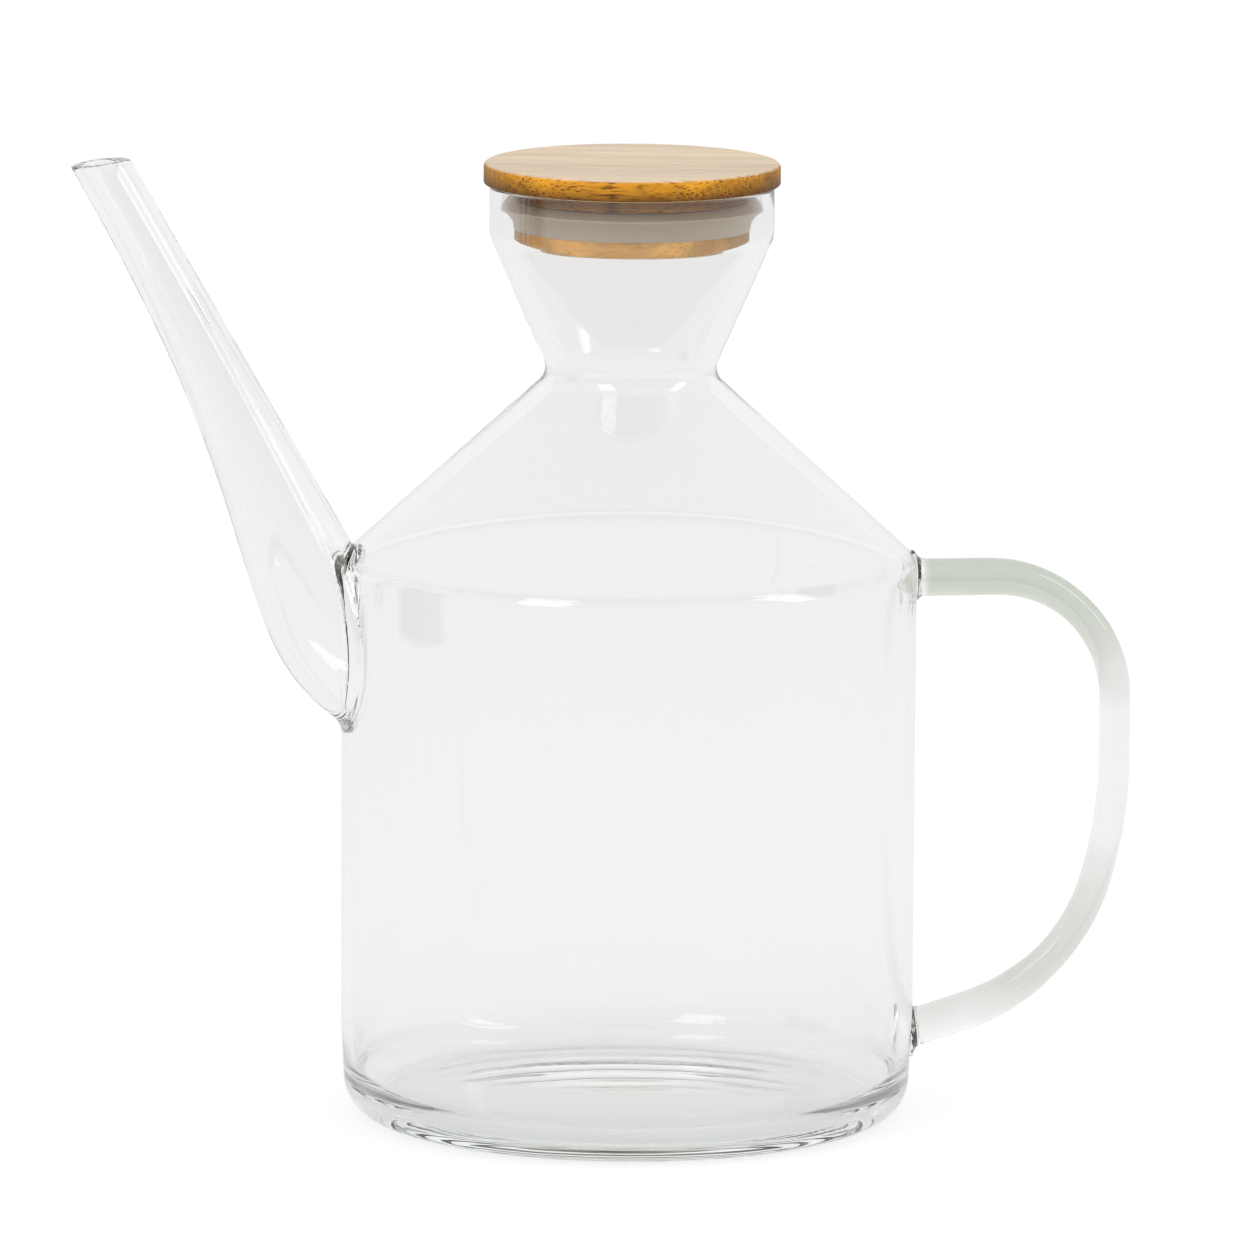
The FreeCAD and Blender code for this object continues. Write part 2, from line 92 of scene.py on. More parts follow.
class CRUET_PG_glass(bpy.types.PropertyGroup):
    body_radius: length("Body radius", "Outside of the cylinder", 55.0)
    shoulder_height: length("Shoulder height", "Where body and cone would meet", 108.0)
    throat_radius: length("Throat radius", "Where the two cones would meet", 15.7)
    throat_height: length("Throat height", "Where the two cones would meet", 144.0)
    rim_radius: length("Rim radius", "Outside of the straight rim", 27.15)
    funnel_height: length("Funnel height", "Where funnel and rim would meet", 170.3)
    rim_height: length("Rim height", "Top of the rim", 180.2)
    wall: length("Wall", "Thickness of the blown wall", 2.0)
    floor_height: length("Floor height", "Top of the thick floor", 4.0)
    punt_depth: length("Punt depth", "Rise of the hollow under the floor", 0.9)
    punt_radius: length("Punt radius", "Width of the hollow under the floor", 36.0)
    foot_taper: length("Foot taper", "How much the body draws in at the foot", 1.0)
    taper_height: length("Taper height", "Where the drawn-in part begins", 20.0)
    taper_round: length("Taper round", "Round where the drawn-in part begins", 60.0)
    heel: length("Heel", "Outer round at the foot", 7.6)
    inner_heel: length("Inner heel", "Inner round at the foot", 8.0)
    shoulder_round: length("Shoulder round", "Outer round at the shoulder", 5.0)
    throat_round: length("Throat round", "Outer round at the throat", 3.5)
    funnel_round: length("Funnel round", "Outer round under the rim", 5.0)
    rim_round: length("Rim round", "Fire-polished rim", 0.7)
    tip_out: length("Tip out", "Spout tip's middle from the axis", 101.6)
    tip_height: length("Tip height", "Spout tip's middle above the table", 185.2)
    tip_radius: length("Tip radius", "Outside of the spout's tip", 5.25)
    tip_tilt: angle("Tip tilt", "Last full section against level", 24.6)
    cut_tilt: angle("Cut tilt", "Cut of the pouring lip against level", 7.4)
    bore_radius: length("Bore radius", "Bore at the tip", 2.6)
    root_wall: length("Root wall", "Wall of the spout at the body", 2.6)
    foot_drop: length("Foot drop", "Shoulder corner down to the spout's root below", 33.2)
    top_drop: length("Top drop", "Shoulder corner down to the spout's root above", 2.8)
    root_depth: length("Root depth", "Root's lower end inside the body's side", 3.0)
    back_lean: angle("Back lean", "Straight back of the spout against upright", 29.8)
    belly_out: length("Belly out", "How strongly the belly first runs outwards", 28.0)
    belly_up: length("Belly up", "How strongly the belly first runs upwards", 16.6)
    belly_pull: length("Belly pull", "How strongly the tip straightens the belly", 83.3)
    belly_lean: angle("Belly lean", "Belly at the tip against upright", 30.0)
    back_pace: number("Back pace", "How late the sections climb the back", 2.4)
    spout_weld: length("Spout weld", "Flare of the glass where the spout joins", 2.0)
    rod_radius: length("Rod radius", "Handle rod at its roots", 3.6)
    grip_radius: length("Grip radius", "Handle rod where it was drawn out", 3.0)
    rod_full: length("Rod full", "Length of the full rod at each root", 12.0)
    rod_fade: length("Rod fade", "Length over which the rod thins to the grip", 24.0)
    reach: length("Reach", "Farthest centreline of the handle from the axis", 94.3)
    top_arm: length("Top arm", "Height of the upper arm's centreline", 103.5)
    foot_arm: length("Foot arm", "Height where the lower arm meets the body", 15.3)
    foot_slope: angle("Foot slope", "Rise of the lower arm", 17.5)
    top_bend: length("Top bend", "Centreline radius of the upper bend", 24.0)
    side_bend: length("Side bend", "Centreline radius of the long curve", 85.0)
    side_turn: angle("Side turn", "Turn of the long curve", 16.0)
    low_bend: length("Low bend", "Centreline radius of the lower bend", 38.0)
    handle_weld: length("Handle weld", "Flare of the glass where the rod joins", 2.2)
    segments: IntProperty(name="Segments", description="Facets around the vessel", default=192)


class CRUET_PG_lid(bpy.types.PropertyGroup):
    plug_radius: length("Plug radius", "Turned plug under the disc", 22.4)
    disc_round: length("Disc round", "Round of the disc's upper edge", 0.9)
    groove_top: length("Groove top", "Start of the groove below the disc", 2.8)
    groove_width: length("Groove width", "Height of the groove", 4.7)
    groove_depth: length("Groove depth", "Depth of the groove", 2.2)
    edge: length("Edge", "Eased edges of the plug", 0.35)
    ring_foot: length("Ring foot", "Straight height below the ring's flare", 1.0)
    ring_lip: length("Ring lip", "Thickness of the ring's flared lip", 1.2)
    lip_drop: length("Lip drop", "Ring's top down to the edge of its lip", 1.0)
    strip_width: length("Strip width", "Width of one laminated strip", 5.2)
    grain_turn: angle("Grain turn", "Run of the fibres against the X axis", -12.6)
    top_colour: colour("Top colour", "Bamboo on the flat top", 238, 214, 184)
    side_colour: colour("Side colour", "Bamboo on the turned side", 236, 160, 40)
    dark_colour: colour("Dark colour", "Vascular dots and dark grain", 84, 44, 8)
    plug_colour: colour("Plug colour", "Bamboo below the groove", 240, 178, 98)
    # Painted shade: the neck between disc and ring is coloured dark brown where the disc shades it.
    neck_shade_colour: colour("Neck colour", "Shaded neck between disc and ring", 66, 26, 4)
    ring_colour: colour("Ring colour", "Silicone", 184, 168, 150)


class CRUET_PG_glass_finish(bpy.types.PropertyGroup):
    depth_colour: colour("Depth colour", "Hue that thick glass takes", 186, 200, 182)
    # Painted shade: a grey-green tint on the rod's upper arm and bends, standing in for the darker
    # band that refraction shows there.
    rod_shade_colour: colour("Rod colour", "Hue of the solid rod in its upper arm and bends", 214, 219, 208)
    depth: number("Depth", "How fast thick glass darkens, per metre", 2.5)
    shadow: colour("Shadow", "Light that passes one surface on its way to the floor", 244, 245, 244)
    index: number("Index", "Refractive index of the glass", 1.47)
    ripple: number("Ripple", "Depth of the blown waviness", 0.25)


class CRUET_PG_studio(bpy.types.PropertyGroup):
    distance: FloatProperty(name="Distance", description="Camera from the body's axis",
                            default=2.5, unit="LENGTH")
    azimuth: angle("Azimuth", "Camera turned about the object", -7.0)
    elevation: angle("Elevation", "Camera above level", 9.48)
    roll: angle("Roll", "Camera turned about its own axis", 0.39)
    aim_height: length("Aim height", "Height at the middle of the view", 95.54)
    aim_side: FloatProperty(name="Aim side", description="Middle of the view beside the axis",
                            default=-0.00137, unit="LENGTH")
    view_width: length("View width", "Width of the view at the axis", 238.16)
    floor_colour: colour("Floor colour", "Pale floor", 235, 235, 235)
    floor_glow: number("Floor glow", "Lifts the floor to white where it is seen directly", 0.24)
    through_glow: number("Through glow", "Lifts the floor that glass mirrors or shows", 0.05)
    fill: number("Fill", "Level of the surrounding white", 0.9)
    ceiling: number("Ceiling", "Level overhead in reflections", 1.0)
    horizon: number("Horizon", "Level all around in reflections", 0.9)
    card: number("Card", "Level of the grey card that edges the glass", 0.1)
    key: number("Key", "Power of the large lamp at the left", 4.0)
    rim: number("Rim", "Power of the narrow lamp at the right", 2.0)


GROUPS = {
    "cruet_glass": CRUET_PG_glass,
    "cruet_lid": CRUET_PG_lid,
    "cruet_glass_finish": CRUET_PG_glass_finish,
    "cruet_studio": CRUET_PG_studio,
}


# ---------------------------------------------------------------- node building

def wire(tree, source, target):
    tree.links.new(source, target)


def feed(tree, value, target):
    """Connect a socket, or write a plain value into it."""
    if isinstance(value, bpy.types.NodeSocket):
        tree.links.new(value, target)
    else:
        target.default_value = value


def node_of(tree, kind, inputs=None, **settings):
    """A new node with its settings made first, and then its inputs connected or set."""
    node = tree.nodes.new(kind)
    for name, value in settings.items():
        setattr(node, name, value)
    for label, value in (inputs or {}).items():
        feed(tree, value, node.inputs[label])
    return node


def maths(tree, operation, *values):
    """A maths node's result; the values are sockets or numbers."""
    return node_of(tree, "ShaderNodeMath", dict(enumerate(values)), operation=operation).outputs[0]


def times(tree, first, second):
    return maths(tree, "MULTIPLY", first, second)


def vector_of(tree, operation, first, second=None, scale=None):
    """A vector maths node's result; the values are sockets, vectors or numbers."""
    given = {0: first, 1: second, "Scale": scale}
    inputs = {label: value for label, value in given.items() if value is not None}
    return node_of(tree, "ShaderNodeVectorMath", inputs, operation=operation).outputs["Vector"]


def combine(tree, x, y, z):
    return node_of(tree, "ShaderNodeCombineXYZ", {0: x, 1: y, 2: z}).outputs[0]


def parts_of(tree, vector):
    return node_of(tree, "ShaderNodeSeparateXYZ", {0: vector}).outputs


def new_form_tree(name, sizes):
    """A Geometry Nodes tree with a geometry in and out and the named sizes."""
    tree = bpy.data.node_groups.new(name, "GeometryNodeTree")
    tree.interface.new_socket("Geometry", in_out="INPUT", socket_type="NodeSocketGeometry")
    for label, kind, default in sizes:
        socket = tree.interface.new_socket(label, in_out="INPUT", socket_type=kind)
        if default is not None:
            socket.default_value = default
    tree.interface.new_socket("Geometry", in_out="OUTPUT", socket_type="NodeSocketGeometry")
    return tree, tree.nodes.new("NodeGroupInput"), tree.nodes.new("NodeGroupOutput")


def skin_grid(tree, source, around):
    """A grid with one column per step around and one row per point of the source line."""
    size = node_of(tree, "GeometryNodeAttributeDomainSize", {"Geometry": source})
    rows = size.outputs["Point Count"]
    columns = maths(tree, "ADD", around, 1.0)
    grid = node_of(tree, "GeometryNodeMeshGrid", {"Vertices X": columns, "Vertices Y": rows})
    index = tree.nodes.new("GeometryNodeInputIndex").outputs[0]
    column = maths(tree, "FLOOR", maths(tree, "DIVIDE", index, rows))
    row = maths(tree, "SUBTRACT", index, times(tree, column, rows))
    turn = maths(tree, "DIVIDE", times(tree, column, math.tau), around)
    return grid.outputs["Mesh"], row, turn


def sampled(tree, source, value, row, kind="FLOAT_VECTOR"):
    """The value at the source line's point of that row."""
    node = node_of(tree, "GeometryNodeSampleIndex",
                   {"Geometry": source, "Value": value, "Index": row}, data_type=kind)
    return node.outputs["Value"]


def named(tree, label, kind):
    node = node_of(tree, "GeometryNodeInputNamedAttribute", {"Name": label}, data_type=kind)
    return node.outputs["Attribute"]


def close_skin(tree, grid, place, material, group_out):
    """Move the grid's points, close seam and poles, shade smooth and give the material."""
    geometry = grid
    for kind, inputs in (
            ("GeometryNodeSetPosition", {"Position": place}),
            ("GeometryNodeMergeByDistance", {"Distance": POINT}),
            ("GeometryNodeSetShadeSmooth", {}),
            ("GeometryNodeRealizeInstances", {}),
            ("GeometryNodeSetMaterial", {"Material": material})):
        geometry = node_of(tree, kind, {0: geometry, **inputs}).outputs[0]
    wire(tree, geometry, group_out.inputs[0])


def turned_form_tree():
    """Turns a profile line in the XZ plane about the Z axis."""
    name = "Turned Form"
    if name in bpy.data.node_groups:
        return bpy.data.node_groups[name]
    tree, given, made = new_form_tree(name, [
        ("Segments", "NodeSocketInt", 96),
        ("Material", "NodeSocketMaterial", None)])
    profile = given.outputs["Geometry"]
    grid, row, turn = skin_grid(tree, profile, given.outputs["Segments"])
    here = tree.nodes.new("GeometryNodeInputPosition").outputs[0]
    out, _, up = parts_of(tree, sampled(tree, profile, here, row))
    across = times(tree, out, maths(tree, "COSINE", turn))
    along = times(tree, out, maths(tree, "SINE", turn))
    close_skin(tree, grid, combine(tree, across, along, up), given.outputs["Material"], made)
    return tree


def drawn_tube_tree():
    """Skins a tube over sections; near the vessel it flares into a smooth weld."""
    name = "Drawn Tube"
    if name in bpy.data.node_groups:
        return bpy.data.node_groups[name]
    tree, given, made = new_form_tree(name, [
        ("Around", "NodeSocketInt", 48),
        ("Weld", "NodeSocketFloat", 0.002),
        ("Body Radius", "NodeSocketFloat", 0.055),
        ("Shoulder Height", "NodeSocketFloat", 0.108),
        ("Cone Across", "NodeSocketFloat", 0.67),
        ("Cone Up", "NodeSocketFloat", 0.74),
        ("Material", "NodeSocketMaterial", None)])
    line = given.outputs["Geometry"]
    grid, row, turn = skin_grid(tree, line, given.outputs["Around"])
    here = tree.nodes.new("GeometryNodeInputPosition").outputs[0]
    middle = sampled(tree, line, here, row)
    side = sampled(tree, line, named(tree, "side", "FLOAT_VECTOR"), row)
    half = sampled(tree, line, named(tree, "half_width", "FLOAT"), row, "FLOAT")
    level = combine(tree, 0.0, times(tree, maths(tree, "SINE", turn), half), 0.0)
    arm = vector_of(tree, "ADD", vector_of(tree, "SCALE", side, scale=maths(tree, "COSINE", turn)),
                    level)
    bare = vector_of(tree, "ADD", middle, arm)
    flare = weld_flare(tree, given, bare)
    # A section drawn in to a point doesn't flare, so that it still closes the tube's end.
    flare = times(tree, flare, maths(tree, "GREATER_THAN", half, 10 * POINT))
    outwards = vector_of(tree, "NORMALIZE", arm)
    place = vector_of(tree, "ADD", bare, vector_of(tree, "SCALE", outwards, scale=flare))
    close_skin(tree, grid, place, given.outputs["Material"], made)
    return tree


def weld_flare(tree, given, place):
    """How far a tube's skin swells at a place: a quarter round up to the body or the cone."""
    x, y, z = parts_of(tree, place)
    square = maths(tree, "ADD", times(tree, x, x), times(tree, y, y))
    off_body = maths(tree, "SUBTRACT", maths(tree, "SQRT", square), given.outputs["Body Radius"])
    above = maths(tree, "SUBTRACT", z, given.outputs["Shoulder Height"])
    off_cone = maths(tree, "ADD", times(tree, off_body, given.outputs["Cone Across"]),
                     times(tree, above, given.outputs["Cone Up"]))
    off = maths(tree, "MAXIMUM", off_body, off_cone)
    weld = given.outputs["Weld"]
    near = maths(tree, "DIVIDE", maths(tree, "SUBTRACT", weld, off), weld)
    steepest = 0.97
    near = maths(tree, "MINIMUM", maths(tree, "MAXIMUM", near, 0.0), steepest)
    hollow = maths(tree, "SQRT", maths(tree, "SUBTRACT", 1.0, times(tree, near, near)))
    return times(tree, weld, maths(tree, "SUBTRACT", 1.0, hollow))


def line_object(name, points, vectors=None, numbers=None):
    """A mesh of one open line, with the vectors and numbers kept on its points."""
    mesh = bpy.data.meshes.new(name)
    edges = [(i, i + 1) for i in range(len(points) - 1)]
    mesh.from_pydata(points, edges, [])
    for label, values in (vectors or {}).items():
        layer = mesh.attributes.new(label, "FLOAT_VECTOR", "POINT")
        layer.data.foreach_set("vector", [part for value in values for part in value])
    for label, values in (numbers or {}).items():
        layer = mesh.attributes.new(label, "FLOAT", "POINT")
        layer.data.foreach_set("value", values)
    piece = bpy.data.objects.new(name, mesh)
    bpy.context.scene.collection.objects.link(piece)
    return piece


def bake(piece):
    """Replace the object's mesh by its evaluated one and remove its modifiers."""
    bpy.context.view_layer.update()
    graph = bpy.context.evaluated_depsgraph_get()
    mesh = bpy.data.meshes.new_from_object(piece.evaluated_get(graph), depsgraph=graph)
    old = piece.data
    piece.modifiers.clear()
    piece.data = mesh
    if old.users == 0:
        bpy.data.meshes.remove(old)
    mesh.name = piece.name
    return piece


def apply_tree(piece, tree, values):
    """Run a Geometry Nodes tree on the object with its inputs set by identifier."""
    modifier = piece.modifiers.new(tree.name, "NODES")
    modifier.node_group = tree
    sockets = {item.name: item.identifier for item in tree.interface.items_tree
               if item.in_out == "INPUT"}
    for label, value in values.items():
        modifier[sockets[label]] = value
    return bake(piece)


def cut_or_fuse(piece, tool, operation):
    """Boolean of two closed meshes; the tool is used up."""
    modifier = piece.modifiers.new(operation.title(), "BOOLEAN")
    modifier.operation = operation
    modifier.solver = "EXACT"
    modifier.object = tool
    bake(piece)
    mesh = tool.data
    bpy.data.objects.remove(tool)
    bpy.data.meshes.remove(mesh)


# ---------------------------------------------------------------- outlines and routes

def rounded(corners, step=0.006, turn=math.radians(7.5)):
    """Points through corners (across, up, rounding), with an arc at each round corner.

    Sides are cut up to the step's length, and arcs up to the turn.
    """
    spots = [Vector((across, up)) for across, up, rounding in corners]
    points = [spots[0]]
    for i in range(1, len(corners)):
        last = i == len(corners) - 1
        rounding = 0 if last else corners[i][2]
        arc = [spots[i]]
        if rounding:
            before = (spots[i - 1] - spots[i]).normalized()
            after = (spots[i + 1] - spots[i]).normalized()
            half = before.angle(after) / 2
            trim = rounding / math.tan(half)
            middle = spots[i] + (before + after).normalized() * (rounding / math.sin(half))
            first = spots[i] + before * trim - middle
            sweep = first.angle_signed(spots[i] + after * trim - middle)
            count = max(2, math.ceil(abs(sweep) / turn))
            arc = []
            for j in range(count + 1):
                a = -sweep * j / count
                arc.append(middle + Vector((first.x * math.cos(a) - first.y * math.sin(a),
                                            first.x * math.sin(a) + first.y * math.cos(a))))
        run = arc[0] - points[-1]
        cuts = max(1, math.ceil(run.length / step))
        points += [points[-1] + run * (j / cuts) for j in range(1, cuts)]
        points += arc
    return [(point.x, 0.0, point.y) for point in points]


def ease(share):
    """A soft start and end for a share that goes from 0 to 1."""
    share = min(1.0, max(0.0, share))
    return share * share * (3 - 2 * share)


def inset(before, corner, after, wall):
    """The corner moved inwards so that both sides step in by the wall."""
    first = (corner - before).normalized()
    second = (after - corner).normalized()
    one = Vector((-first.y, first.x))
    two = Vector((-second.y, second.x))
    return corner + (one + two) * (wall / (1 + one.dot(two)))


def vessel_lines(size):
    """Outer corners of the vessel, and of the room inside it."""
    foot = Vector((size.body_radius - size.foot_taper, 0))
    side = Vector((size.body_radius, size.taper_height))
    shoulder = Vector((size.body_radius, size.shoulder_height))
    throat = Vector((size.throat_radius, size.throat_height))
    funnel = Vector((size.rim_radius, size.funnel_height))
    rim = Vector((size.rim_radius, size.rim_height))
    punt_round = 0.02
    outside = [
        (0, size.punt_depth, 0),
        (size.punt_radius, 0.0, punt_round),
        (foot.x, foot.y, size.heel),
        (side.x, side.y, size.taper_round),
        (shoulder.x, shoulder.y, size.shoulder_round),
        (throat.x, throat.y, size.throat_round),
        (funnel.x, funnel.y, size.funnel_round),
        (rim.x, rim.y, size.rim_round),
        (0, rim.y, 0),
    ]
    wall = size.wall
    inner = [inset(foot, side, shoulder, wall), inset(side, shoulder, throat, wall),
             inset(shoulder, throat, funnel, wall), inset(throat, funnel, rim, wall)]
    lip = rim.x - wall
    lip_cut = size.rim_round * 0.6
    inside = [
        (0, size.floor_height, 0),
        (foot.x - wall, size.floor_height, size.inner_heel),
        (inner[0].x, inner[0].y, size.taper_round - wall),
        (inner[1].x, inner[1].y, size.shoulder_round - wall),
        (inner[2].x, inner[2].y, size.throat_round + wall),
        (inner[3].x, inner[3].y, size.funnel_round - wall),
        (lip, rim.y - lip_cut, size.rim_round),
        (lip + wall, rim.y + wall - lip_cut, 0),
        (0, rim.y + wall, 0),
    ]
    return outside, inside


def spout_edges(size, along):
    """Points on the spout's belly and back, from 0 at its root to 1 at its tip."""
    tip = Vector((-size.tip_out, size.tip_height))
    half = size.tip_radius * Vector((math.cos(size.tip_tilt), math.sin(size.tip_tilt)))
    start = Vector((size.root_depth - size.body_radius, size.shoulder_height - size.foot_drop))
    end = tip - half
    pull = size.belly_pull * Vector((math.sin(size.belly_lean), -math.cos(size.belly_lean)))
    bends = (start, start + Vector((-size.belly_out, size.belly_up)), end + pull, end)
    rest = 1 - along
    belly = Vector((0, 0))
    weights = (rest ** 3, 3 * rest ** 2 * along, 3 * rest * along ** 2, along ** 3)
    for weight, bend in zip(weights, bends):
        belly += weight * bend
    top = tip + half
    drop = (top.y - size.shoulder_height + size.top_drop) * (1 - along ** size.back_pace)
    return belly, Vector((top.x + drop * math.tan(size.back_lean), top.y - drop))


def tube_line(name, sections):
    """A line object from (middle, side, half width) sections in the XZ plane."""
    points = [(middle.x, 0.0, middle.y) for middle, side, half in sections]
    sides = [(side.x, 0.0, side.y) for middle, side, half in sections]
    halves = [half for middle, side, half in sections]
    return line_object(name, points, {"side": sides}, {"half_width": halves})


def drawn_in(section):
    """The section as a point, which closes a tube's end."""
    middle, side, half = section
    return middle, side * POINT, half * POINT


def spout_sections(size, walls, inward, steps, lip):
    """Closed tube sections from inside the vessel to the cut tip.

    walls are taken off at root and tip; lip rounds the tip's edge, outwards in a bore.
    The last quarter leans each section a little more, so that the end lies in the cut.
    """
    root_crowding = 1.7
    tip = Vector((-size.tip_out, size.tip_height))
    normal = Vector((-math.sin(size.cut_tilt), math.cos(size.cut_tilt)))
    leans = [Vector((-math.sin(lean), math.cos(lean)))
             for lean in (size.belly_lean, size.back_lean)]
    gaps = [normal.dot(tip - end) / normal.dot(lean)
            for end, lean in zip(spout_edges(size, 1), leans)]

    def section(along, grow=0.0):
        belly, back = spout_edges(size, along)
        full = (back - belly).length / 2
        radius = full - (walls[0] + (walls[1] - walls[0]) * along) + grow
        near = ease(along * 4 - 3)
        belly += leans[0] * gaps[0] * near
        back += leans[1] * gaps[1] * near
        return (belly + back) / 2, (back - belly) / 2 * (radius / full), radius

    sections = [section((i / steps) ** root_crowding) for i in range(steps)]
    middle, side, half = sections[0]
    deep = (middle + Vector((inward, 0)), side, half)
    sections = [drawn_in(deep), deep, *sections]
    for rise, grow in lip:
        middle, side, half = section(1, grow)
        sections.append((middle + leans[0] * rise, side, half))
    return [*sections, drawn_in(sections[-1])]


def handle_line(size, sink):
    """Centreline of the rod: straight arms and tangent bends, its ends sunk into the wall."""
    start = size.body_radius - sink
    turn = size.side_turn
    slope = math.tan(size.foot_slope)
    hub = size.reach - size.side_bend + (size.side_bend - size.low_bend) * math.cos(turn)
    foot = math.pi / 2 - size.foot_slope
    low_x = hub + size.low_bend * math.cos(foot)
    low_z = size.foot_arm + (low_x - size.body_radius) * slope
    hub_z = low_z + size.low_bend * math.sin(foot)
    grip_z = hub_z + (size.side_bend - size.low_bend) * math.sin(turn)
    line = []

    def straight(first, second, count=0):
        """Points from the first up to the second, 2 mm apart where no count is given."""
        run = second - first
        count = count or max(2, math.ceil(run.length / (2 * MM)))
        line.extend(first + run * (i / count) for i in range(count))

    def bend(centre, radius, high, low, count):
        for i in range(count):
            a = high + (low - high) * i / count
            line.append(centre + radius * Vector((math.cos(a), math.sin(a))))

    flare_end = Vector((size.body_radius + size.handle_weld * 1.2, size.top_arm))
    straight(Vector((start, size.top_arm)), flare_end, 12)
    top = Vector((size.reach - size.top_bend, size.top_arm - size.top_bend))
    straight(flare_end, Vector((top.x, size.top_arm)))
    bend(top, size.top_bend, math.pi / 2, 0, 22)
    straight(Vector((size.reach, top.y)), Vector((size.reach, grip_z)))
    bend(Vector((size.reach - size.side_bend, grip_z)), size.side_bend, 0, -turn, 14)
    bend(Vector((hub, hub_z)), size.low_bend, -turn, -foot, 26)
    flare_end = Vector((size.body_radius + size.handle_weld * 2,
                        size.foot_arm + size.handle_weld * 2 * slope))
    straight(Vector((low_x, low_z)), flare_end)
    last = Vector((start, size.foot_arm - sink * slope))
    straight(flare_end, last, 16)
    line.append(last)
    return line


def handle_sections(size):
    """Closed rod sections along the handle's line, thinner in the middle of the handle."""
    sink = size.wall * 0.7
    line = handle_line(size, sink)
    gone = [0.0]
    for i in range(1, len(line)):
        gone.append(gone[-1] + (line[i] - line[i - 1]).length)
    sections = []
    for i, spot in enumerate(line):
        ahead = line[min(i + 1, len(line) - 1)] - line[max(i - 1, 0)]
        tangent = ahead.normalized()
        from_root = min(gone[i], gone[-1] - gone[i]) - sink
        thin = ease((from_root - size.rod_full) / size.rod_fade)
        radius = size.rod_radius + (size.grip_radius - size.rod_radius) * thin
        sections.append((spot, Vector((tangent.y, -tangent.x)) * radius, radius))
    return [drawn_in(sections[0]), *sections, drawn_in(sections[-1])]


# ---------------------------------------------------------------- materials

def new_material(name, inputs):
    """A material, its tree and its Principled shader with these plain inputs."""
    material = bpy.data.materials.new(name)
    material.use_nodes = True
    tree = material.node_tree
    shader = tree.nodes["Principled BSDF"]
    for label, value in inputs.items():
        shader.inputs[label].default_value = value
    return material, tree, shader


def object_place(tree):
    return tree.nodes.new("ShaderNodeTexCoord").outputs["Object"]


def grey(level):
    return (level, level, level, 1)


def toned(colour, share=1.0):
    """The colour made darker or brighter by a share, with its alpha."""
    return (*[min(1.0, part * share) for part in colour], 1)


def ramp(tree, value, stops):
    """A colour ramp's result, with stops as (place, grey level)."""
    node = node_of(tree, "ShaderNodeValToRGB", {"Fac": value})
    elements = node.color_ramp.elements
    while len(elements) < len(stops):
        elements.new(0.5)
    for element, (spot, level) in zip(elements, stops):
        element.position = spot
        element.color = grey(level)
    return node.outputs["Color"]


def mix(tree, share, first, second, blend="MIX"):
    """Two colours mixed by a share; 6 and 7 are the colour inputs, and 2 is their result."""
    inputs = {"Factor": share, 6: first, 7: second}
    return node_of(tree, "ShaderNodeMix", inputs, data_type="RGBA", blend_type=blend).outputs[2]


def two_tone(tree, share, colour, dark, bright=1.0):
    """The colour darkened where the share is 0, and brightened where it is 1."""
    return mix(tree, share, toned(colour, dark), toned(colour, bright))


def noise_of(tree, place, detail=2.0, roughness=0.5, scale=1.0):
    inputs = {"Vector": place, "Scale": scale, "Detail": detail, "Roughness": roughness}
    return node_of(tree, "ShaderNodeTexNoise", inputs).outputs["Fac"]


def between(tree, value, low, high):
    """A value from 0 to 1 carried over to the range from low to high."""
    inputs = {"Value": value, "To Min": low, "To Max": high}
    return node_of(tree, "ShaderNodeMapRange", inputs).outputs["Result"]


def ripple_group():
    """Slow unevenness of a hand-worked surface, as a normal."""
    name = "Hand Worked Ripple"
    if name in bpy.data.node_groups:
        return bpy.data.node_groups[name]
    tree = bpy.data.node_groups.new(name, "ShaderNodeTree")
    for label, kind in (("Scale", "Float"), ("Depth", "Float"), ("Stretch", "Vector")):
        tree.interface.new_socket(label, in_out="INPUT", socket_type=f"NodeSocket{kind}")
    tree.interface.new_socket("Normal", in_out="OUTPUT", socket_type="NodeSocketVector")
    given = tree.nodes.new("NodeGroupInput").outputs
    made = tree.nodes.new("NodeGroupOutput")
    place = vector_of(tree, "MULTIPLY", object_place(tree), given["Stretch"])
    height = noise_of(tree, place, 1.5, 0.4, given["Scale"])
    bump = node_of(tree, "ShaderNodeBump",
                   {"Strength": given["Depth"], "Distance": MM, "Height": height})
    wire(tree, bump.outputs[0], made.inputs[0])
    return tree


def ripple(tree, scale, depth, stretch=(1.0, 1.0, 1.0)):
    inputs = {"Scale": scale, "Depth": depth, "Stretch": stretch}
    return node_of(tree, "ShaderNodeGroup", inputs, node_tree=ripple_group()).outputs["Normal"]


def rod_painted_shade(tree, finish, size):
    """White on the vessel, and painted shade on the rod's upper arm and bends: a grey-green tint
    standing in for the darker band that refraction shows there.
    """
    place = object_place(tree)
    out, _, up = parts_of(tree, place)
    outside = node_of(tree, "ShaderNodeMapRange",
                      {"Value": out, "From Min": size.body_radius + 1 * MM,
                       "From Max": size.body_radius + 3 * MM}).outputs["Result"]
    cloud = noise_of(tree, place, scale=60.0)
    drift = 20 * MM
    height = maths(tree, "MULTIPLY_ADD", maths(tree, "SUBTRACT", cloud, 0.5), drift, up)
    # The stops' places are heights as shares of the upper arm's.
    # Painted shade: the grey-green is strongest on the upper arm and the lower bend, and absent on
    # the long grip.
    bends = ramp(tree, maths(tree, "DIVIDE", height, size.top_arm),
                 [(0.15, 0), (0.27, 0.75), (0.38, 0.5), (0.5, 0), (0.75, 0), (0.97, 1)])
    return mix(tree, times(tree, outside, bends), grey(1), toned(finish.rod_shade_colour))


